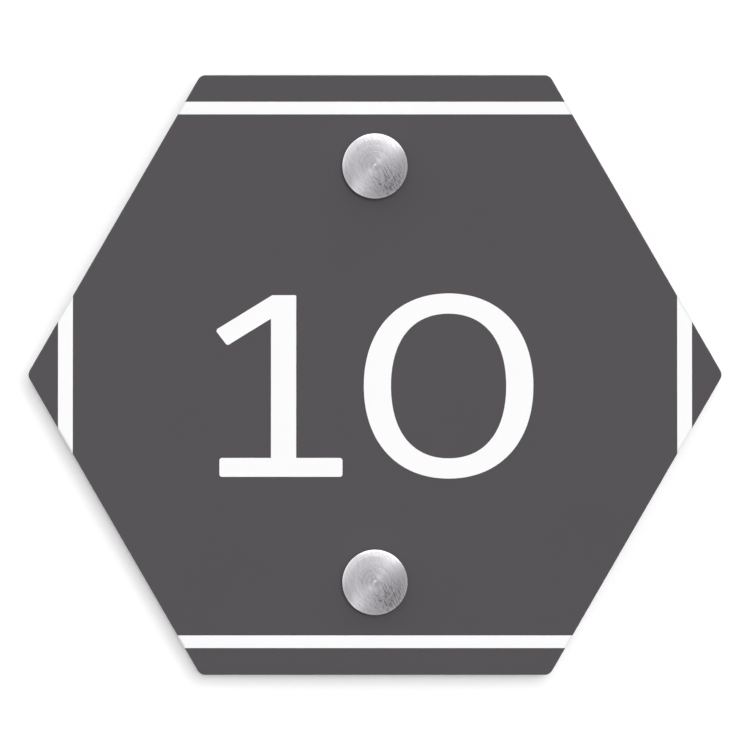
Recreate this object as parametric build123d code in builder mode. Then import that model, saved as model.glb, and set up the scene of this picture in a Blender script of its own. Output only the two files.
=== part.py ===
from build123d import *
from math import cos, radians, sin, tan
import os

# Six-sided door plate with the number 10, held off the door by two turned fixings.
# Millimetres. X runs across the plate, Z is up, and the face looks along -Y.
# The origin lies on the door, midway between the two fixings, and Y = 0 is the door's surface.

# Plate: matt acrylic sheet, cut to a hexagon that stands on a flat side
plate_width = 160.0  # from tip to tip, before the corners are rounded
plate_height = 138.0
plate_thickness = 3.0
plate_side_slope = 60.0  # degrees
plate_corner_radius = 2.0
plate_edge_chamfer = 0.25

# Fixings: one above the number and one below it
fixing_inset = 21.2  # from the plate's top and bottom edges to a fixing's axis
fixing_diameter = 15.0  # of cap and barrel
edge_break = 0.3
stud_diameter = 10.0
stud_engagement = 8.0  # length of the stud inside the barrel
stud_lead = 0.8
thread_clearance = 0.1  # on the radius
panel_hole_clearance = 0.25  # on the radius

# Cap
cap_height = 4.5
cap_bevel_width = 1.0
cap_bevel_depth = 0.5
cap_pip_radius = 0.35  # the point that parting off leaves at the centre
cap_pip_height = 0.12

# Barrel
barrel_length = 20.0
barrel_mouth_chamfer = 0.5
barrel_base_land = 1.95  # flat part of the base's hole, behind the countersink

# Washers
washer_thickness = 1.0
washer_setback = 1.0  # from the fixing's outer edge, all round
washer_clearance = 0.2  # on the radius, around the stud

# Wood screw
screw_length = 30.0
screw_tip_length = 4.5
screw_head_room = 1.1  # on the radius, as the head goes in through the barrel's bore
screw_head_rim = 0.25
screw_seat_clearance = 0.05
screw_hole_clearance = 0.25  # on the radius
screw_core_share = 0.72  # of the thread's outer radius
screw_recess_span_share = 0.9  # this and the next two, of the head's radius
screw_recess_width_share = 0.25
screw_recess_depth_share = 0.45

# Film: self-adhesive white vinyl
film_thickness = 0.15
level_line_inset = 7.6  # from the plate's top and bottom edges to the line's middle
level_line_width = 2.9
upright_line_inset = 8.8  # from the plate's tips to the line's middle
upright_line_width = 3.4

# Digits
digit_height = 41.8
digit_gap = 4.9
digit_corner_radius = 0.6
digits_shift = -0.15  # the pair's middle, from the plate's
digits_drop = 2.6
one_foot_width = 28.3
one_foot_height = 4.35
one_stem_width = 5.8
one_stem_shift = 0.6  # from the middle of the foot
one_stem_corner_radius = 0.3
one_flag_start = 0.3  # from the stem's left side, along its top
one_flag_reach = 12.8
one_flag_width = 4.45
one_flag_slope = 31.6  # degrees
one_flag_cut = 52.5  # degrees, the slope of the flag's end
zero_width = 39.0
zero_overshoot = 0.4  # above the one's top and below its foot
zero_side_stroke = 6.25
zero_end_stroke = 4.65
zero_fullness = 0.607  # length of a curve's handle over the half width or height
zero_opening_fullness = 0.63

# The stack, as distances from the door's surface
rear_washer_seat = barrel_length
plate_back = rear_washer_seat + washer_thickness
plate_face = plate_back + plate_thickness
cap_seat = plate_face + washer_thickness
cap_top = cap_seat + cap_height

# Sizes that follow from the ones above
fixing_radius = fixing_diameter / 2
stud_radius = stud_diameter / 2
bore_radius = stud_radius + thread_clearance
screw_head_radius = bore_radius - screw_head_room
screw_radius = screw_head_radius / 2  # a countersunk head is twice as wide as its thread
screw_neck_radius = screw_core_share * screw_radius
recess_span = screw_recess_span_share * screw_head_radius
recess_width = screw_recess_width_share * screw_head_radius
recess_depth = screw_recess_depth_share * screw_head_radius
screw_hole_radius = screw_radius + screw_hole_clearance
countersink_radius = screw_head_radius + screw_head_rim + screw_seat_clearance
barrel_base = barrel_base_land + countersink_radius - screw_hole_radius
fixing_places = {
    "upper": plate_height / 2 - fixing_inset,
    "lower": fixing_inset - plate_height / 2,
}


def finish(piece, name):
    """Label a piece and write it."""
    piece.label = name
    export_step(piece, f"parts/{name}.step")


os.makedirs("parts", exist_ok=True)

# The hexagon, drawn once: the plate is cut to it, and the film lines end at its chamfer
half_top = plate_width / 2 - plate_height / 2 / tan(radians(plate_side_slope))
with BuildSketch() as outline:
    with BuildLine():
        FilletPolyline(
            (plate_width / 2, 0),
            (half_top, plate_height / 2),
            (-half_top, plate_height / 2),
            (-plate_width / 2, 0),
            (-half_top, -plate_height / 2),
            (half_top, -plate_height / 2),
            radius=plate_corner_radius,
            close=True,
        )
    make_face()

with BuildSketch() as flat_of_face:
    add(outline.sketch)
    offset(amount=-plate_edge_chamfer, mode=Mode.REPLACE)

# Plate, with one clearance hole for each stud and both edges lightly chamfered
with BuildPart() as plate:
    with BuildSketch(Plane.XZ.offset(plate_back)):
        add(outline.sketch)
    extrude(amount=plate_thickness)
    rims = plate.faces().filter_by(Axis.Y).edges()
    chamfer(rims, length=plate_edge_chamfer)
    with Locations(Plane.XZ.offset(plate_face)):
        with Locations(*[(0, height) for height in fixing_places.values()]):
            Hole(radius=stud_radius + panel_hole_clearance)
finish(plate.part, "plate")


def stick_on(shape, name):
    """Cut a shape out of film, stick it on the plate's face and write it."""
    with BuildPart() as film:
        with BuildSketch(Plane.XZ.offset(plate_face)):
            add(shape)
        extrude(amount=film_thickness)
    finish(film.part, name)


# Border lines: four straight strips that run out to the plate's edge
level_line_place = plate_height / 2 - level_line_inset
upright_line_place = plate_width / 2 - upright_line_inset
border_lines = {
    "line_top": (0, level_line_place, plate_width, level_line_width),
    "line_bottom": (0, -level_line_place, plate_width, level_line_width),
    "line_left": (-upright_line_place, 0, upright_line_width, plate_height),
    "line_right": (upright_line_place, 0, upright_line_width, plate_height),
}
for name, (x, z, width, height) in border_lines.items():
    with BuildSketch() as strip:
        with Locations((x, z)):
            Rectangle(width, height)
        add(flat_of_face.sketch, mode=Mode.INTERSECT)
    stick_on(strip.sketch, name)

# The one: a stem and its flag in one outline, joined to a foot, drawn from the foot's bottom middle
stem_left = one_stem_shift - one_stem_width / 2
stem_right = one_stem_shift + one_stem_width / 2
slope = radians(one_flag_slope)
cut = radians(one_flag_cut)
flag_tip_x = stem_left - one_flag_reach
flag_tip_z = digit_height - (one_flag_start + one_flag_reach) * tan(slope)
cut_length = one_flag_width / sin(slope + cut)
flag_heel_x = flag_tip_x + cut_length * cos(cut)
flag_heel_z = flag_tip_z - cut_length * sin(cut)
notch_z = flag_heel_z + (stem_left - flag_heel_x) * tan(slope)

# The pair of digits is set about its own middle
pair_width = one_foot_width / 2 - flag_tip_x + digit_gap + zero_width
one_place = digits_shift - pair_width / 2 - flag_tip_x
zero_place = digits_shift + pair_width / 2 - zero_width / 2
baseline = -digits_drop - digit_height / 2

with BuildSketch() as stem:
    with BuildLine():
        FilletPolyline(
            (stem_left, 0),
            (stem_right, 0),
            (stem_right, digit_height),
            (stem_left + one_flag_start, digit_height),
            (flag_tip_x, flag_tip_z),
            (flag_heel_x, flag_heel_z),
            (stem_left, notch_z),
            radius=[0, 0, one_stem_corner_radius, 0, digit_corner_radius, digit_corner_radius, 0],
            close=True,
        )
    make_face()

with BuildSketch() as one:
    with Locations((one_place, baseline)):
        add(stem.sketch)
        RectangleRounded(
            one_foot_width, one_foot_height, digit_corner_radius, align=(Align.CENTER, Align.MIN)
        )
stick_on(one.sketch, "digit_1")


def bowl(half_width, half_height, fullness):
    """Draw a closed oval of four curved quarters, squarer than an ellipse."""
    with BuildSketch() as oval:
        with BuildLine():
            Bezier(
                (half_width, 0),
                (half_width, fullness * half_height),
                (fullness * half_width, half_height),
                (0, half_height),
            )
            mirror(about=Plane.YZ)
            mirror(about=Plane.XZ)
        make_face()
    return oval.sketch


# The zero: an upright ring, thicker at its sides than at its top and bottom
zero_half_height = digit_height / 2 + zero_overshoot
with BuildSketch() as zero:
    with Locations((zero_place, -digits_drop)):
        add(bowl(zero_width / 2, zero_half_height, zero_fullness))
        add(
            bowl(
                zero_width / 2 - zero_side_stroke,
                zero_half_height - zero_end_stroke,
                zero_opening_fullness,
            ),
            mode=Mode.SUBTRACT,
        )
stick_on(zero.sketch, "digit_0")

# The turned pieces, each as half a section: X is the radius and Y the distance from the door
with BuildLine() as barrel_section:
    Polyline(
        (screw_hole_radius, 0),
        (fixing_radius - edge_break, 0),
        (fixing_radius, edge_break),
        (fixing_radius, barrel_length - edge_break),
        (fixing_radius - edge_break, barrel_length),
        (bore_radius + barrel_mouth_chamfer, barrel_length),
        (bore_radius, barrel_length - barrel_mouth_chamfer),
        (bore_radius, barrel_base),
        (countersink_radius, barrel_base),
        (screw_hole_radius, barrel_base_land),
        close=True,
    )

stud_end = barrel_length - stud_engagement
with BuildLine() as cap_section:
    Polyline(
        (cap_pip_radius, cap_top),
        (0, cap_top + cap_pip_height),
        (0, stud_end),
        (stud_radius - stud_lead, stud_end),
        (stud_radius, stud_end + stud_lead),
        (stud_radius, cap_seat),
        (fixing_radius - edge_break, cap_seat),
        (fixing_radius, cap_seat + edge_break),
        (fixing_radius, cap_top - cap_bevel_depth),
        (fixing_radius - cap_bevel_width, cap_top),
        close=True,
    )

screw_end = barrel_base - screw_length
screw_cone_top = barrel_base - screw_head_rim
with BuildLine() as screw_section:
    Polyline(
        (0, barrel_base),
        (screw_head_radius, barrel_base),
        (screw_head_radius, screw_cone_top),
        (screw_neck_radius, screw_cone_top - (screw_head_radius - screw_neck_radius)),
        (screw_neck_radius, 0),
        (screw_radius, 0),
        (screw_radius, screw_end + screw_tip_length),
        (0, screw_end),
        close=True,
    )


def turned(section, height):
    """Turn a half section about the axis of the fixing at a height."""
    with BuildPart() as piece:
        with BuildSketch(Plane(origin=(0, 0, height), x_dir=(1, 0, 0), z_dir=(0, 0, -1))):
            with BuildLine():
                add(section)
            make_face()
        revolve(axis=Axis((0, 0, height), (0, 1, 0)))
    return piece.part


def washer(seat, height):
    """Cut a flat ring that lies round the stud, with its back at a distance from the door."""
    with BuildPart() as ring:
        with BuildSketch(Plane.XZ.offset(seat)):
            with Locations((0, height)):
                Circle(fixing_radius - washer_setback)
                Circle(stud_radius + washer_clearance, mode=Mode.SUBTRACT)
        extrude(amount=washer_thickness)
    return ring.part


def wood_screw(height):
    """Make a countersunk screw: slim behind its head, then threaded to its point."""
    with BuildPart() as screw:
        add(turned(screw_section.line, height))
        with BuildSketch(Plane.XZ.offset(barrel_base)):
            with Locations((0, height)):
                Rectangle(recess_span, recess_width)
                Rectangle(recess_width, recess_span)
        extrude(amount=-recess_depth, mode=Mode.SUBTRACT)
    return screw.part


# Each fixing: barrel, washer, plate, washer and cap, outwards from the door, and the screw inside
for place, height in fixing_places.items():
    finish(turned(barrel_section.line, height), f"barrel_{place}")
    finish(wood_screw(height), f"screw_{place}")
    finish(washer(rear_washer_seat, height), f"rear_washer_{place}")
    finish(washer(plate_face, height), f"front_washer_{place}")
    finish(turned(cap_section.line, height), f"cap_{place}")
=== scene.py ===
import math

import bmesh
import bpy
from mathutils import Euler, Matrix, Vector


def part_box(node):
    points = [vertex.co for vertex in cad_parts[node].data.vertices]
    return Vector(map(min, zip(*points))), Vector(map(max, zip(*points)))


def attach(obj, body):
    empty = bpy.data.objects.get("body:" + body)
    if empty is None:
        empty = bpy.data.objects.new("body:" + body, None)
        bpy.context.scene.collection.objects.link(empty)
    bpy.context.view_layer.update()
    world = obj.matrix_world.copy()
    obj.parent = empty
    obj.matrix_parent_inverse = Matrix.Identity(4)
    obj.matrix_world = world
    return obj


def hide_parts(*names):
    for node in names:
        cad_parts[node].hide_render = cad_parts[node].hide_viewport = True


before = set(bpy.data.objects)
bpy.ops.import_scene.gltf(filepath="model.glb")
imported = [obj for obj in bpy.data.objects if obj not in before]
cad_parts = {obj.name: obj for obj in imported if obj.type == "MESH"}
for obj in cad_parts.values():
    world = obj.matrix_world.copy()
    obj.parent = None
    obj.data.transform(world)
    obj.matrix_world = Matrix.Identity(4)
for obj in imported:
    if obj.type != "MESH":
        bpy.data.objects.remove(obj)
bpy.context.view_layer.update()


# ---- Barrels ----
# The two stand-offs that hold the plate away from the door. Each is turned from aluminium bar,
# bored and tapped for the stud of its cap, and countersunk inside its base for a wood screw.

mm = 0.001
places = ("upper", "lower")


class Port:
    """A node's socket that works like a number: sums and products add their own Math nodes."""

    def __init__(self, socket):
        self.socket = socket

    def other(self, name):
        """Another output of the same node."""
        return Port(self.socket.node.outputs[name])

    def math(self, operation, value=0.0):
        return self.maths(operation, self, value)

    def maths(self, operation, first, second):
        inputs = {0: first, 1: second}
        return put(self.socket.id_data, "ShaderNodeMath", {"operation": operation}, inputs)

    def __add__(self, value):
        return self.math("ADD", value)

    def __sub__(self, value):
        return self.math("SUBTRACT", value)

    def __rsub__(self, value):
        return self.maths("SUBTRACT", value, self)

    def __mul__(self, value):
        return self.math("MULTIPLY", value)

    def __truediv__(self, value):
        return self.math("DIVIDE", value)

    def __pow__(self, value):
        return self.math("POWER", value)

    def __abs__(self):
        return self.math("ABSOLUTE")

    __radd__ = __add__
    __rmul__ = __mul__


def put(tree, kind, settings=None, inputs=None, output=0):
    """Add a node to a tree, with its settings first and then its sockets, and return an output."""
    node = tree.nodes.new(kind)
    for key, value in (settings or {}).items():
        setattr(node, key, value)
    for key, value in (inputs or {}).items():
        if isinstance(value, Port):
            tree.links.new(value.socket, node.inputs[key])
        else:
            node.inputs[key].default_value = value
    return Port(node.outputs[output]) if node.outputs else None


def named(tree, attribute):
    """Read a number that is stored along a drawn section."""
    settings = {"data_type": "FLOAT"}
    return put(tree, "GeometryNodeInputNamedAttribute", settings, {"Name": attribute})


def new_tree(name, inputs):
    """Start a geometry tree with named inputs, and return it and its input ports by name."""
    tree = bpy.data.node_groups.new(name, "GeometryNodeTree")
    tree.is_modifier = True
    for label, kind in {"Geometry": "Geometry", **inputs, "Material": "Material"}.items():
        tree.interface.new_socket(name=label, in_out="INPUT", socket_type="NodeSocket" + kind)
    tree.interface.new_socket(name="Geometry", in_out="OUTPUT", socket_type="NodeSocketGeometry")
    group = tree.nodes.new("NodeGroupInput")
    return tree, {socket.name: Port(socket) for socket in group.outputs if socket.name}


def end_tree(tree, geometry, material):
    """Make what the tree built real, give it its material and pass it out."""
    real = put(tree, "GeometryNodeRealizeInstances", None, {"Geometry": geometry})
    dressed = put(
        tree, "GeometryNodeSetMaterial", None, {"Geometry": real, "Material": material}
    )
    way_out = tree.nodes.new("NodeGroupOutput")
    tree.links.new(dressed.socket, way_out.inputs[0])


def lathe_tree():
    """Turn a drawn section round the Y axis, with tool marks and threads where it asks for them."""
    tree, given = new_tree(
        "lathe",
        {
            "Steps Around": "Int",
            "Axis Height": "Float",
            "Mark Pitch": "Float",
            "Mark Depth": "Float",
            "Thread Pitch": "Float",
            "Thread Depth": "Float",
            "Thread Width": "Float",
        },
    )
    circle = put(
        tree, "GeometryNodeCurvePrimitiveCircle", None, {"Resolution": given["Steps Around"]}
    )
    path = put(
        tree,
        "GeometryNodeStoreNamedAttribute",
        {"data_type": "FLOAT", "domain": "POINT"},
        {"Geometry": circle, "Name": "turn", "Value": put(tree, "GeometryNodeSplineParameter")},
    )
    section = put(tree, "GeometryNodeMeshToCurve", None, {"Mesh": given["Geometry"]})
    skin = put(
        tree, "GeometryNodeCurveToMesh", None, {"Curve": path, "Profile Curve": section}
    )
    # Tool marks: rings of a rounded wave, some cut deeper than others
    shallowest, deepest, change_per_ring = 0.2, 1.8, 0.31
    ring = named(tree, "along") / given["Mark Pitch"]
    uneven = put(
        tree,
        "ShaderNodeTexNoise",
        {"noise_dimensions": "1D"},
        {"W": ring * change_per_ring, "Scale": 1.0, "Detail": 2.0},
    )
    depth = (uneven * (deepest - shallowest) + shallowest) * given["Mark Depth"]
    wave = (ring * math.tau).math("COSINE") * 0.5 + 0.5
    cut = wave * depth * named(tree, "marks")
    # Thread: a ridge with a narrow flat top, which climbs one pitch with each turn to the right
    uncut_height = 1.35
    distance = named(tree, "from_door")
    phase = distance / given["Thread Pitch"] - named(tree, "turn")
    from_crest = abs(phase.math("FRACT") * 2.0 - 1.0)
    ridge = (1.0 - from_crest / given["Thread Width"]) * uncut_height
    ridge = ridge.math("MAXIMUM", 0.0).math("MINIMUM", 1.0)
    rise = ridge * named(tree, "thread") * given["Thread Depth"]
    radius = named(tree, "from_axis") + rise - cut * named(tree, "lift_radius")
    out = distance - cut * named(tree, "lift_distance")
    angle = named(tree, "turn") * math.tau
    place = put(
        tree,
        "ShaderNodeCombineXYZ",
        None,
        {
            "X": radius * angle.math("COSINE"),
            "Y": out * -1.0,
            "Z": radius * angle.math("SINE") + given["Axis Height"],
        },
    )
    shaped = put(tree, "GeometryNodeSetPosition", None, {"Geometry": skin, "Position": place})
    closed = put(
        tree, "GeometryNodeMergeByDistance", None, {"Geometry": shaped, "Distance": 1e-7}
    )
    end_tree(tree, closed, given["Material"])
    return tree


lathe = lathe_tree()


def corner(radius, distance, rounding=0.0, marks=0.0, thread=0.0):
    """A corner of a half section, in millimetres from the piece's axis and from the door.

    Marks and thread say how much of each there is on the straight from here. Along it they
    change to what the next corner says, if that has any.
    """
    return {
        "place": Vector((radius, distance)),
        "rounding": rounding,
        "marks": marks,
        "thread": thread,
    }


def rounded_corners(corners):
    """The places of a section, where each corner that is rounded has become an arc."""
    arc_steps = 4
    rounded = []
    for i, here in enumerate(corners):
        place = here["place"]
        if here["rounding"]:
            following = corners[(i + 1) % len(corners)]["place"]
            before = (corners[i - 1]["place"] - place).normalized() * here["rounding"]
            after = (following - place).normalized() * here["rounding"]
            for step in range(arc_steps):
                t = step / arc_steps
                rounded.append((place + before * (1 - t) ** 2 + after * t**2, 0.0, 0.0))
            place = place + after
        rounded.append((place, here["marks"], here["thread"]))
    return rounded


def drawn_section(corners, spacing, is_ring):
    """Divide the straights that are cut, and say how much cut there is at each point."""
    rounded = rounded_corners(corners)
    points = []
    along = 0.0
    for i in range(len(rounded) if is_ring else len(rounded) - 1):
        _, marks_before, thread_before = rounded[i - 1]
        start, marks, thread = rounded[i]
        end, end_marks, end_thread = rounded[(i + 1) % len(rounded)]
        end_marks, end_thread = end_marks or marks, end_thread or thread
        run = end - start
        steps = max(1, math.ceil(run.length / spacing)) if marks or thread else 1
        starts_cut = not (marks_before or thread_before)
        for step in range(steps):
            t = step / steps
            share = 0.0 if starts_cut and step == 0 else 1.0
            points.append(
                {
                    "place": start + run * t,
                    "along": along + run.length * t,
                    "lift": Vector((-run.y, run.x)).normalized(),
                    "marks": (marks + (end_marks - marks) * t) * share,
                    "thread": (thread + (end_thread - thread) * t) * share,
                }
            )
        along += run.length
    if not is_ring:
        end = {"place": rounded[-1][0], "along": along, "lift": Vector((0, 0))}
        points.append({**end, "marks": 0.0, "thread": 0.0})
    # Marks and threads run out over a short way before they stop
    for cut, run_out in {"marks": 0.25, "thread": 1.0}.items():
        bare = [point["along"] for point in points if not point[cut]]
        for point in points:
            if point[cut]:
                gap = min(abs(point["along"] - stop) for stop in bare)
                point[cut] *= min(1.0, gap / run_out)
    return points


def turned(name, corners, material, height, spacing=0.1, is_ring=False, steps=144, **cuts):
    """Turn a piece from its half section, drawn clockwise, and return it as a plain object."""
    points = drawn_section(corners, spacing, is_ring)
    count = len(points)
    edges = [(i, (i + 1) % count) for i in range(count if is_ring else count - 1)]
    radii = [point["place"].x * mm for point in points]
    distances = [point["place"].y * mm for point in points]
    drawing = bpy.data.meshes.new(name + "_section")
    drawing.from_pydata([(x, 0, z) for x, z in zip(radii, distances)], edges, [])
    columns = {
        "from_axis": radii,
        "from_door": distances,
        "along": [point["along"] * mm for point in points],
        "lift_radius": [point["lift"].x for point in points],
        "lift_distance": [point["lift"].y for point in points],
        "marks": [point["marks"] for point in points],
        "thread": [point["thread"] for point in points],
    }
    for column, values in columns.items():
        drawing.attributes.new(column, "FLOAT", "POINT").data.foreach_set("value", values)
    blank = bpy.data.objects.new(name + "_blank", drawing)
    bpy.context.scene.collection.objects.link(blank)
    job = blank.modifiers.new("lathe", "NODES")
    job.node_group = lathe
    sizes = {
        "Steps Around": steps,
        "Axis Height": height,
        "Mark Pitch": cuts.get("mark_pitch", 1.0) * mm,
        "Mark Depth": cuts.get("mark_depth", 0.0) * mm,
        "Thread Pitch": cuts.get("thread_pitch", 1.0) * mm,
        "Thread Depth": cuts.get("thread_depth", 0.0) * mm,
        "Thread Width": cuts.get("thread_width", 1.0),
        "Material": material,
    }
    for item in lathe.interface.items_tree:
        if item.name in sizes:
            job[item.identifier] = sizes[item.name]
    graph = bpy.context.evaluated_depsgraph_get()
    mesh = bpy.data.meshes.new_from_object(blank.evaluated_get(graph))
    bpy.data.objects.remove(blank)
    return plain_piece(name, mesh)


def plain_piece(name, mesh):
    """Turn a mesh's faces outwards, smooth it between its sharp edges and give it an object."""
    sharpest_smooth_edge = math.radians(35)
    for attribute in [a.name for a in mesh.attributes if a.data_type == "FLOAT"]:
        mesh.attributes.remove(mesh.attributes[attribute])
    edit = bmesh.new()
    edit.from_mesh(mesh)
    bmesh.ops.recalc_face_normals(edit, faces=edit.faces)
    edit.to_mesh(mesh)
    edit.free()
    mesh.shade_smooth()
    mesh.set_sharp_from_angle(angle=sharpest_smooth_edge)
    mesh.name = name
    piece = bpy.data.objects.new(name, mesh)
    bpy.context.scene.collection.objects.link(piece)
    return piece


def in_mm(length):
    """A length of the frame in millimetres, to the nearest micrometre."""
    return round(length / mm, 3)


def new_material(name):
    """Start an empty material and return it and its tree."""
    material = bpy.data.materials.new(name)
    material.use_nodes = True
    material.node_tree.nodes.clear()
    return material, material.node_tree


def coordinates(tree):
    """Read the place on the object, and its three parts as numbers."""
    place = put(tree, "ShaderNodeTexCoord", output="Object")
    x = put(tree, "ShaderNodeSeparateXYZ", None, {"Vector": place})
    return place, x, x.other("Y"), x.other("Z")


def noise(tree, scale, detail=2.0, vector=None, w=None):
    """A soft random pattern between 0 and 1, over a vector or along one number."""
    inputs = {"Scale": scale, "Detail": detail}
    if w is not None:
        return put(tree, "ShaderNodeTexNoise", {"noise_dimensions": "1D"}, {**inputs, "W": w})
    return put(tree, "ShaderNodeTexNoise", None, {**inputs, "Vector": vector})


def spread(tree, value, low, high, start=0.0, end=1.0, smooth=False):
    """Stretch a value from low..high to start..end."""
    settings = {"interpolation_type": "SMOOTHSTEP" if smooth else "LINEAR"}
    inputs = {"Value": value, 1: low, 2: high, 3: start, 4: end}
    return put(tree, "ShaderNodeMapRange", settings, inputs)


def mixed(tree, factor, first, second):
    """Mix two colours."""
    return put(tree, "ShaderNodeMix", {"data_type": "RGBA"}, {0: factor, 6: first, 7: second}, 2)


def rub_marks_and_painted_shade(tree, x, y, z):
    """Groups of short fine strokes painted dark on a cap's face, most of them low on the right:
    partly scratches, and partly painted shade for the streaky shading of the turned face there.
    """
    # The dark strokes lean by 28 degrees
    lean_cosine, lean_sine = 0.883, 0.469
    across = x * lean_cosine + z * lean_sine
    down = x * lean_sine - z * lean_cosine
    # Both patterns are drawn out along the strokes, the second one more than the first
    group_place, stroke_place = (
        put(tree, "ShaderNodeCombineXYZ", None, {"X": across, "Y": y, "Z": down * share})
        for share in (0.22, 0.05)
    )
    groups = spread(tree, noise(tree, 2900.0, 0.0, vector=group_place), 0.49, 0.61)
    dark_strokes = spread(tree, noise(tree, 11000.0, 1.0, vector=stroke_place), 0.42, 0.56)
    right, low, inner, outer = 3.3 * mm, -3.4 * mm, 2 * mm, 4.5 * mm
    from_middle = ((x - right) ** 2 + (z - low) ** 2) ** 0.5
    nearby = spread(tree, from_middle, inner, outer, 1.0, 0.22, smooth=True)
    unmarked_side, marked_face = -27 * mm, -28.5 * mm
    return groups * dark_strokes * nearby * spread(tree, y, unmarked_side, marked_face)


def turned_metal(name, height):
    """Aluminium as the lathe leaves it: bright, with rings of fine tool marks round one axis."""
    material, tree = new_material(name)
    place, x, y, z = coordinates(tree)
    z = z - height
    # The rings run out over the faces and on along the sides, so many to the metre
    along = (x * x + z * z) ** 0.5 - y
    fine_rings, broad_rings, offset = 9000.0, 1500.0, 7.0
    fine = noise(tree, 1.0, 1.0, w=along * fine_rings)
    broad = noise(tree, 1.0, 1.0, w=along * broad_rings + offset)
    smudge = noise(tree, 160.0, 2.0, vector=place)
    tone = fine * 0.35 + broad * 0.65
    dull, bright, scuffed_and_shaded = (0.68, 0.66, 0.695, 1), (0.79, 0.77, 0.81, 1), (0.18, 0.17, 0.19, 1)
    clean = mixed(tree, spread(tree, tone, 0.3, 0.7), dull, bright)
    shader = put(
        tree,
        "ShaderNodeBsdfPrincipled",
        None,
        {
            # Dark strokes on the cap's face: partly scratches, and partly painted shade for the
            # streaks of shading low on the right
            "Base Color": mixed(tree, rub_marks_and_painted_shade(tree, x, y, z) * 0.8, clean, scuffed_and_shaded),
            "Metallic": 1.0,
            "Roughness": spread(tree, tone * 0.6 + smudge * 0.4, 0.3, 0.7, 0.22, 0.16),
            "Normal": put(
                tree,
                "ShaderNodeBump",
                None,
                {"Strength": 1.0, "Distance": 0.02 * mm, "Height": fine},
            ),
        },
    )
    put(tree, "ShaderNodeOutputMaterial", None, {"Surface": shader})
    return material


# Sizes in millimetres, the barrel's front being the end that faces the plate
low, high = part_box("barrel_upper")
barrel_radius, barrel_front = in_mm(high.x), in_mm(-low.y)
edge_break, soft_edge = 0.3, 0.08
bore, mouth_chamfer = 5.1, 0.5
screw_hole, countersink, base_land = 2.25, 4.3, 1.95
base_top = base_land + countersink - screw_hole
stud_pitch, stud_ridge = 1.0, 0.55

metals = {}
axis_heights = {}
for place in places:
    low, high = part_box("barrel_" + place)
    axis_heights[place] = (low.z + high.z) / 2
    metals[place] = turned_metal("turned_metal_" + place, axis_heights[place])
    barrel = turned(
        "barrel_turned_" + place,
        [
            corner(screw_hole, 0.0),
            corner(screw_hole, base_land),
            corner(countersink, base_top),
            corner(bore, base_top, thread=1),
            corner(bore, barrel_front - mouth_chamfer),
            corner(bore + mouth_chamfer, barrel_front),
            corner(barrel_radius - edge_break, barrel_front, soft_edge),
            corner(barrel_radius, barrel_front - edge_break, soft_edge, marks=1),
            corner(barrel_radius, edge_break, soft_edge),
            corner(barrel_radius - edge_break, 0.0, soft_edge),
        ],
        metals[place],
        axis_heights[place],
        is_ring=True,
        mark_pitch=0.42,
        mark_depth=0.01,
        thread_pitch=stud_pitch,
        thread_depth=-stud_ridge,
    )
    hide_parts("barrel_" + place)
    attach(barrel, "root")


# ---- Wood screws ----
# A countersunk screw holds each barrel to the door. Rolled from steel wire and bright zinc
# plated, with a cross recess in its head and a coarse thread down to a sharp point.

low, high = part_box("screw_upper")
head_radius, screw_top, screw_tip = in_mm(high.x), in_mm(-low.y), in_mm(-high.y)
head_rim, neck_radius, thread_start = 0.25, 1.44, 0.3
under_head = screw_top - head_rim - (head_radius - neck_radius)
# Towards the tip: the distance from it, the radius between the threads, and how much thread
taper = ((5.5, 1.36, 1.0), (4.1, 1.16, 0.85), (1.2, 0.45, 0.35))
recess_span, recess_width, recess_depth, recess_taper = 3.6, 1.0, 1.8, 0.62


def zinc_plate():
    """Bright zinc on steel: a cool grey with a slightly uneven shine."""
    material, tree = new_material("zinc_plate")
    place, *_ = coordinates(tree)
    cloud = noise(tree, 900.0, 3.0, vector=place)
    grain = noise(tree, 5200.0, 2.0, vector=place)
    cool, warm = (0.52, 0.53, 0.55, 1), (0.68, 0.68, 0.67, 1)
    shader = put(
        tree,
        "ShaderNodeBsdfPrincipled",
        None,
        {
            "Base Color": mixed(tree, cloud, cool, warm),
            "Metallic": 1.0,
            "Roughness": spread(tree, cloud, 0.25, 0.75, 0.22, 0.36),
            "Normal": put(
                tree, "ShaderNodeBump", None, {"Distance": 0.004 * mm, "Height": grain}
            ),
        },
    )
    put(tree, "ShaderNodeOutputMaterial", None, {"Surface": shader})
    return material


def bar_through(name, rings):
    """A closed mesh that runs through rings of four places each, with a face at both ends."""
    edit = bmesh.new()
    rings = [[edit.verts.new(place) for place in ring] for ring in rings]
    edit.faces.new(rings[0])
    edit.faces.new(reversed(rings[-1]))
    for ring, following in zip(rings, rings[1:]):
        for i in range(4):
            j = (i + 1) % 4
            edit.faces.new((ring[i], following[i], following[j], ring[j]))
    mesh = bpy.data.meshes.new(name)
    edit.to_mesh(mesh)
    edit.free()
    return mesh


def recess_cutter(height, across, wide):
    """One arm of the head's cross: a bar that narrows towards the bottom of the recess."""
    over_head, bottom = screw_top + 0.1, screw_top - recess_depth
    rings = []
    for distance, share in ((over_head, 1.0), (bottom, recess_taper)):
        x, z = across / 2 * share * mm, wide / 2 * share * mm
        around = ((-x, -z), (x, -z), (x, z), (-x, z))
        rings.append([(side, -distance * mm, up + height) for side, up in around])
    return plain_piece("recess", bar_through("recess", rings))


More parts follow.
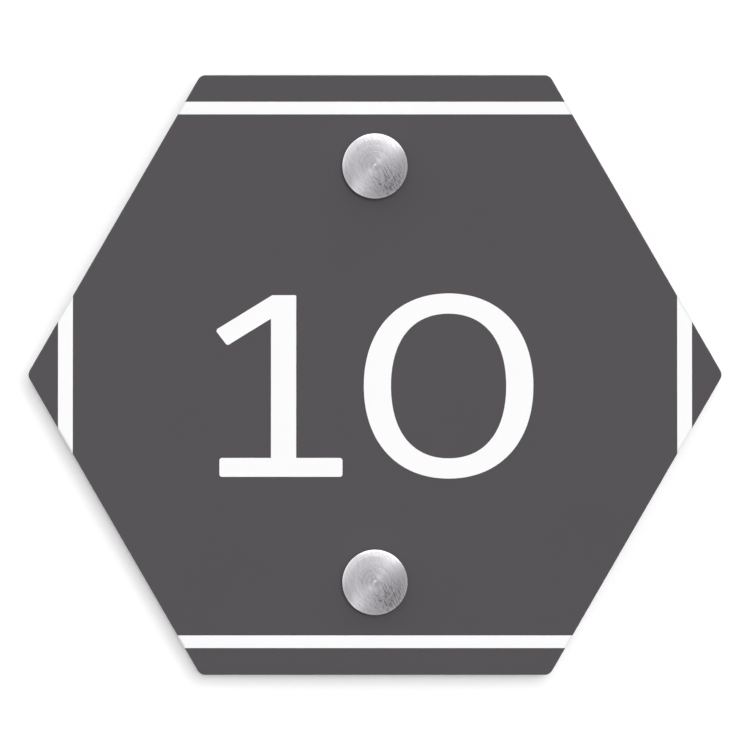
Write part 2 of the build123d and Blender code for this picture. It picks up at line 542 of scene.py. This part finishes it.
zinc = zinc_plate()
for place in places:
    height = axis_heights[place]
    rough = turned(
        "screw_rough_" + place,
        [
            corner(0.0, screw_top),
            corner(head_radius, screw_top, soft_edge),
            corner(head_radius, screw_top - head_rim, soft_edge),
            corner(neck_radius, under_head, rounding=0.3),
            corner(neck_radius, thread_start, thread=1),
            *[corner(radius, screw_tip + above, thread=share) for above, radius, share in taper],
            corner(0.0, screw_tip),
        ],
        zinc,
        height,
        spacing=0.08,
        steps=96,
        thread_pitch=1.8,
        thread_depth=0.6,
        thread_width=0.5,
    )
    cutters = [
        recess_cutter(height, recess_span, recess_width),
        recess_cutter(height, recess_width, recess_span),
    ]
    for cutter in cutters:
        cut = rough.modifiers.new("recess", "BOOLEAN")
        cut.operation = "DIFFERENCE"
        cut.object = cutter
    graph = bpy.context.evaluated_depsgraph_get()
    mesh = bpy.data.meshes.new_from_object(rough.evaluated_get(graph))
    for used in (rough, *cutters):
        bpy.data.objects.remove(used)
    screw = plain_piece("wood_screw_" + place, mesh)
    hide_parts("screw_" + place)
    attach(screw, "root")


# ---- Washers ----
# Soft clear rings on both faces of the plate, so that neither barrel nor cap bears on the
# acrylic. Punched from flexible plastic sheet, 1 mm thick, and slipped over the stud.


def clear_soft_plastic():
    """Milky see-through plastic with a slightly greasy shine."""
    material, tree = new_material("clear_soft_plastic")
    place, *_ = coordinates(tree)
    cloud = noise(tree, 700.0, 3.0, vector=place)
    milky, clearer = (0.78, 0.8, 0.81, 1), (0.88, 0.89, 0.9, 1)
    shader = put(
        tree,
        "ShaderNodeBsdfPrincipled",
        None,
        {
            "Base Color": mixed(tree, cloud, milky, clearer),
            "Roughness": spread(tree, cloud, 0.3, 0.7, 0.28, 0.4),
            "IOR": 1.43,
            "Transmission Weight": 0.75,
            "Normal": put(
                tree, "ShaderNodeBump", None, {"Distance": 0.01 * mm, "Height": cloud}
            ),
        },
    )
    put(tree, "ShaderNodeOutputMaterial", None, {"Surface": shader})
    return material


washer_hole, hole_rounding, rim_rounding = 5.2, 0.1, 0.3
soft_plastic = clear_soft_plastic()
for side in ("rear", "front"):
    for place in places:
        node = f"{side}_washer_{place}"
        low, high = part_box(node)
        washer_radius, near, far = in_mm(high.x), in_mm(-high.y), in_mm(-low.y)
        washer = turned(
            node + "_soft",
            [
                corner(washer_hole, near, hole_rounding),
                corner(washer_hole, far, hole_rounding),
                corner(washer_radius, far, rim_rounding),
                corner(washer_radius, near, rim_rounding),
            ],
            soft_plastic,
            axis_heights[place],
            is_ring=True,
        )
        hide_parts(node)
        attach(washer, "root")


# ---- Plate ----
# The six-sided sheet of dark grey acrylic, 3 mm thick. Its faces are matt, and its edges show
# the close upright lines of the cutter and a light chamfer on both arrises.


def matt_acrylic():
    """Dark grey acrylic: frosted faces, and cut edges that are smoother and finely lined."""
    material, tree = new_material("matt_acrylic")
    place, x, y, z = coordinates(tree)
    facing = put(tree, "ShaderNodeTexCoord", output="Normal")
    tilt = put(tree, "ShaderNodeSeparateXYZ", None, {"Vector": facing}, "Y")
    face_tilt, edge_tilt = 0.9, 0.35
    edge = spread(tree, abs(tilt), face_tilt, edge_tilt, smooth=True)
    frost = noise(tree, 3600.0, 3.0, vector=place)
    cloud = noise(tree, 40.0, 2.0, vector=place)
    upright = put(tree, "ShaderNodeCombineXYZ", None, {"X": x, "Y": y * 0.02, "Z": z})
    cutter_lines = noise(tree, 5200.0, 2.0, vector=upright)
    face, paler_face = (0.0742, 0.068, 0.0742, 1), (0.0782, 0.0718, 0.0782, 1)
    groove, crest = (0.07, 0.066, 0.07, 1), (0.1, 0.095, 0.1, 1)
    face_colour = mixed(tree, cloud, face, paler_face)
    edge_colour = mixed(tree, cutter_lines, groove, crest)
    shader = put(
        tree,
        "ShaderNodeBsdfPrincipled",
        None,
        {
            "Base Color": mixed(tree, edge, face_colour, edge_colour),
            "Roughness": spread(tree, edge + frost * 0.1, 0.0, 1.1, 0.62, 0.34),
            "Specular IOR Level": 0.35,
            "Normal": put(
                tree,
                "ShaderNodeBump",
                None,
                {
                    "Distance": 0.008 * mm,
                    "Height": frost * (1.0 - edge) * 0.6 + cutter_lines * edge,
                },
            ),
        },
    )
    put(tree, "ShaderNodeOutputMaterial", None, {"Surface": shader})
    return material


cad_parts["plate"].data.materials[0] = matt_acrylic()


# ---- Border lines and digits ----
# White self-adhesive vinyl, cut by a plotter and stuck to the plate's face: the two digits of
# the number, and four straight lines, whose ends are pressed down over the plate's chamfer.


def white_vinyl():
    """White vinyl film with a faint orange-peel skin."""
    material, tree = new_material("white_vinyl")
    place, *_ = coordinates(tree)
    peel = noise(tree, 1400.0, 2.0, vector=place)
    cloud = noise(tree, 60.0, 2.0, vector=place)
    white, whiter = (0.95, 0.945, 0.95, 1), (0.965, 0.96, 0.965, 1)
    shader = put(
        tree,
        "ShaderNodeBsdfPrincipled",
        None,
        {
            "Base Color": mixed(tree, cloud, white, whiter),
            "Roughness": spread(tree, peel, 0.3, 0.7, 0.4, 0.48),
            "Specular IOR Level": 0.4,
            "Normal": put(
                tree, "ShaderNodeBump", None, {"Distance": 0.006 * mm, "Height": peel}
            ),
        },
    )
    put(tree, "ShaderNodeOutputMaterial", None, {"Surface": shader})
    return material


def folded_line(node, material):
    """A straight line of film, flat on the plate's face and thinner where it is folded over."""
    low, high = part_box(node)
    thick, thin, chamfer = in_mm(high.y - low.y), 0.05, 0.25
    # From an end inwards: how far the film's outside and inside lie past the flat part's end
    # and in front of the plate's face, in millimetres
    fold = (
        ((chamfer + thin, thin - chamfer), (chamfer, -chamfer)),
        ((0.04, 0.06), (0.0, 0.0)),
        ((-0.04, 0.13), (-0.04, 0.0)),
        ((-0.15, thick), (-0.15, 0.0)),
        ((-0.30, thick), (-0.30, 0.0)),
    )
    level = high.x - low.x > high.z - low.z
    along, across = (0, 2) if level else (2, 0)
    slope = math.radians(60)
    slant = 1 / math.tan(slope) if level else math.tan(slope)
    lengthening = 1 / math.sin(slope) if level else 1 / math.cos(slope)
    near, far = sorted((low[across], high[across]), key=abs)
    rings = []
    for end, bends in ((-1, fold), (1, reversed(fold))):
        for outside, inside in bends:
            ring = []
            for side, (past, rise) in (
                (near, outside),
                (far, outside),
                (far, inside),
                (near, inside),
            ):
                spot = Vector((0.0, high.y - rise * mm, 0.0))
                spot[across] = side
                flat_end = high[along] - abs(side - near) * slant
                spot[along] = end * (flat_end + past * mm * lengthening)
                ring.append(spot)
            rings.append(ring)
    mesh = bar_through(node, rings)
    mesh.materials.append(material)
    return plain_piece(node + "_film", mesh)


vinyl = white_vinyl()
for node in ("digit_1", "digit_0"):
    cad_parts[node].data.materials[0] = vinyl
for node in ("line_top", "line_bottom", "line_left", "line_right"):
    line = folded_line(node, vinyl)
    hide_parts(node)
    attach(line, "root")


# ---- Caps ----
# The two round heads that clamp the plate. Each is turned from aluminium in one piece with its
# stud: a smooth crowned face with fine rings from the tool, and at its centre the low pip that
# parting off leaves.

low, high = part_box("cap_upper")
cap_radius, stud_end = in_mm(high.x), in_mm(-high.y)
cap_seat = in_mm(-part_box("front_washer_upper")[0].y)
face_height = 4.5
stud_core, stud_neck, neck_length, thread_run_in = 4.45, 4.4, 0.8, 0.9
stud_lead, stud_lead_narrowing = 0.6, 0.35
# The pip's outline: each radius with its height over the middle of the face
pip = ((0.0, 0.06), (0.1, 0.053), (0.2, 0.035), (0.32, 0.012), (0.45, -0.001))


def crown(radius):
    """The cap face's distance from the door: almost flat, and rolled over towards its rim."""
    bow, roll = 0.004, 0.000135
    return cap_seat + face_height - bow * radius**2 - roll * radius**4


for place in places:
    cap = turned(
        "cap_turned_" + place,
        [
            *[corner(radius, cap_seat + face_height + rise) for radius, rise in pip],
            corner(0.6, crown(0.6), marks=1),
            *[corner(step / 5, crown(step / 5), marks=1) for step in range(5, 37)],
            corner(cap_radius, crown(cap_radius), rounding=0.1),
            corner(cap_radius, cap_seat + edge_break, soft_edge),
            corner(cap_radius - edge_break, cap_seat, soft_edge),
            corner(stud_neck, cap_seat),
            corner(stud_neck, cap_seat - neck_length),
            corner(stud_core, cap_seat - thread_run_in, thread=1),
            corner(stud_core, stud_end + stud_lead),
            corner(stud_core - stud_lead_narrowing, stud_end, rounding=0.1),
            corner(0.0, stud_end),
        ],
        metals[place],
        axis_heights[place],
        spacing=0.08,
        mark_pitch=0.31,
        mark_depth=0.003,
        thread_pitch=stud_pitch,
        thread_depth=stud_ridge,
    )
    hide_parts("cap_" + place)
    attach(cap, "root")


# ---- Studio ----
# The plate hangs on a plain white wall over a pale floor, seen from straight ahead through a
# long lens. A small key lamp, up and to the right, throws the soft shadow at the lower left.


def studio_surface(name, colour, glow, in_metal):
    """A backdrop that hides what is behind it only from its front, and never shades the part."""
    material, tree = new_material(name)
    path = put(tree, "ShaderNodeLightPath", output="Is Camera Ray")
    behind = put(tree, "ShaderNodeNewGeometry", output="Backfacing")
    looked_at = path.math("MAXIMUM", path.other("Is Transmission Ray"))
    seen = looked_at.math("MAXIMUM", path.other("Is Glossy Ray") * in_metal)
    paint = put(tree, "ShaderNodeBsdfDiffuse", None, {"Color": colour})
    light = put(tree, "ShaderNodeEmission", None, {"Color": (1, 1, 1, 1), "Strength": glow})
    front = put(tree, "ShaderNodeAddShader", None, {0: paint, 1: light})
    clear = put(tree, "ShaderNodeBsdfTransparent")
    shader = put(
        tree,
        "ShaderNodeMixShader",
        None,
        {0: seen * (1.0 - behind), 1: clear, 2: front},
    )
    put(tree, "ShaderNodeOutputMaterial", None, {"Surface": shader})
    return material


def backdrop(name, corners, material):
    """A flat sheet of the studio, facing the side from which its corners run anticlockwise."""
    mesh = bpy.data.meshes.new(name)
    mesh.from_pydata(corners, [], [(0, 1, 2, 3)])
    mesh.materials.append(material)
    sheet = bpy.data.objects.new(name, mesh)
    bpy.context.scene.collection.objects.link(sheet)


wall_y, floor_z, reach = 0.0002, -1.2, 4.0
backdrop(
    "wall",
    [
        (-reach, wall_y, floor_z),
        (reach, wall_y, floor_z),
        (reach, wall_y, reach),
        (-reach, wall_y, reach),
    ],
    studio_surface("wall_white", (0.9, 0.9, 0.9, 1), glow=0.165, in_metal=1.0),
)
backdrop(
    "floor",
    [
        (-reach, -reach, floor_z),
        (reach, -reach, floor_z),
        (reach, reach, floor_z),
        (-reach, reach, floor_z),
    ],
    studio_surface("floor_white", (0.8, 0.8, 0.8, 1), glow=0.55, in_metal=0.0),
)


def sun(name, towards, level, width):
    """A distant lamp, so many degrees wide, whose level is what white paint facing it shows."""
    data = bpy.data.lights.new(name, "SUN")
    data.energy = level * math.pi
    data.angle = math.radians(width)
    lamp = bpy.data.objects.new(name, data)
    lamp.rotation_mode = "QUATERNION"
    lamp.rotation_quaternion = Vector(towards).to_track_quat("-Z", "Y")
    lamp.visible_glossy = False
    bpy.context.scene.collection.objects.link(lamp)


# The key lamp makes the wide soft shadow, and a smaller one the dark line close to the edge.
# The lamp at the rear is for looking at the back.
sun("key", (-1.49, 24.0, -1.05), level=0.54, width=12.4)
sun("front", (-0.5, 24.0, -0.45), level=0.15, width=2.5)
sun("rear", (0.25, -1.0, -0.35), level=0.55, width=20.0)

# What surrounds it all: plain white to look at, dimmer as a light, and with the soft shapes
# of a studio as polished metal mirrors them
world = bpy.data.worlds.new("studio")
bpy.context.scene.world = world
world.use_nodes = True
air = world.node_tree
air.nodes.clear()
ray = put(air, "ShaderNodeLightPath", output="Is Camera Ray")
towards = put(air, "ShaderNodeTexCoord", output="Generated")
side_x = put(air, "ShaderNodeSeparateXYZ", None, {"Vector": towards})
side_y, side_z = side_x.other("Y"), side_x.other("Z")
looking_up = math.radians(1.8)


def nearness(clock, off_axis):
    """The cosine to an hour of the clock, so many degrees from what a flat cap mirrors."""
    turn, tilt = math.radians(30 * clock), math.radians(off_axis)
    to_hour = Vector((math.sin(turn), 0, math.cos(turn))) * math.sin(tilt)
    middle = to_hour + Vector((0, -math.cos(tilt), 0))
    middle.rotate(Euler((-looking_up, 0, 0)))
    return side_x * middle.x + side_y * middle.y + side_z * middle.z


def glow_from(clock, off_axis, inner, outer):
    """A soft round patch, so many degrees wide at its full strength and at its edge."""
    full, none = math.cos(math.radians(inner)), math.cos(math.radians(outer))
    return spread(air, nearness(clock, off_axis), none, full, smooth=True)


def strip_from(clock, inner, outer):
    """A long soft strip through the middle, which leans towards an hour of the clock."""
    full, none = math.sin(math.radians(inner)), math.sin(math.radians(outer))
    quarter_turn, right_angle = 3, 90
    across = nearness(clock + quarter_turn, right_angle)
    return spread(air, abs(across), none, full, smooth=True)


plain = 0.51
bow_tie = strip_from(clock=1.3, inner=0.3, outer=10.0) * 0.52
side_window = glow_from(clock=10.5, off_axis=70.0, inner=29.6, outer=62.8) * 0.82
top_window = glow_from(clock=0.51, off_axis=56.9, inner=14.0, outer=44.0) * 1.6
dark_corner = glow_from(clock=4.62, off_axis=8.5, inner=2.2, outer=15.5) * 0.37
mirrored = plain + bow_tie + side_window + top_window - dark_corner
lit = 0.34
seen = ray.math("MAXIMUM", ray.other("Is Transmission Ray"))
glossy = ray.other("Is Glossy Ray") * (1.0 - seen)
strength = seen + glossy * mirrored + (1.0 - seen) * (1.0 - glossy) * lit
sky = put(air, "ShaderNodeBackground", None, {"Color": (1, 1, 1, 1), "Strength": strength})
put(air, "ShaderNodeOutputWorld", None, {"Surface": sky})

# The camera looks up a little, from so far away that the plate's face has this many pixels to
# the millimetre in a picture of this width
picture_width, pixels_per_mm = 750, 4.348
lens, sensor = 500.0, 36.0
away = picture_width / pixels_per_mm * mm * lens / sensor
below_middle = 0.07 * mm
data = bpy.data.cameras.new("camera")
data.lens, data.sensor_width = lens, sensor
data.clip_start, data.clip_end = 0.01, 20.0
camera = bpy.data.objects.new("camera", data)
camera.location = (
    0.0,
    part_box("plate")[0].y - away * math.cos(looking_up),
    -away * math.sin(looking_up) - below_middle,
)
camera.rotation_euler = (math.radians(90) + looking_up, 0, 0)
bpy.context.scene.collection.objects.link(camera)
bpy.context.scene.camera = camera
bpy.context.scene.view_settings.view_transform = "Standard"
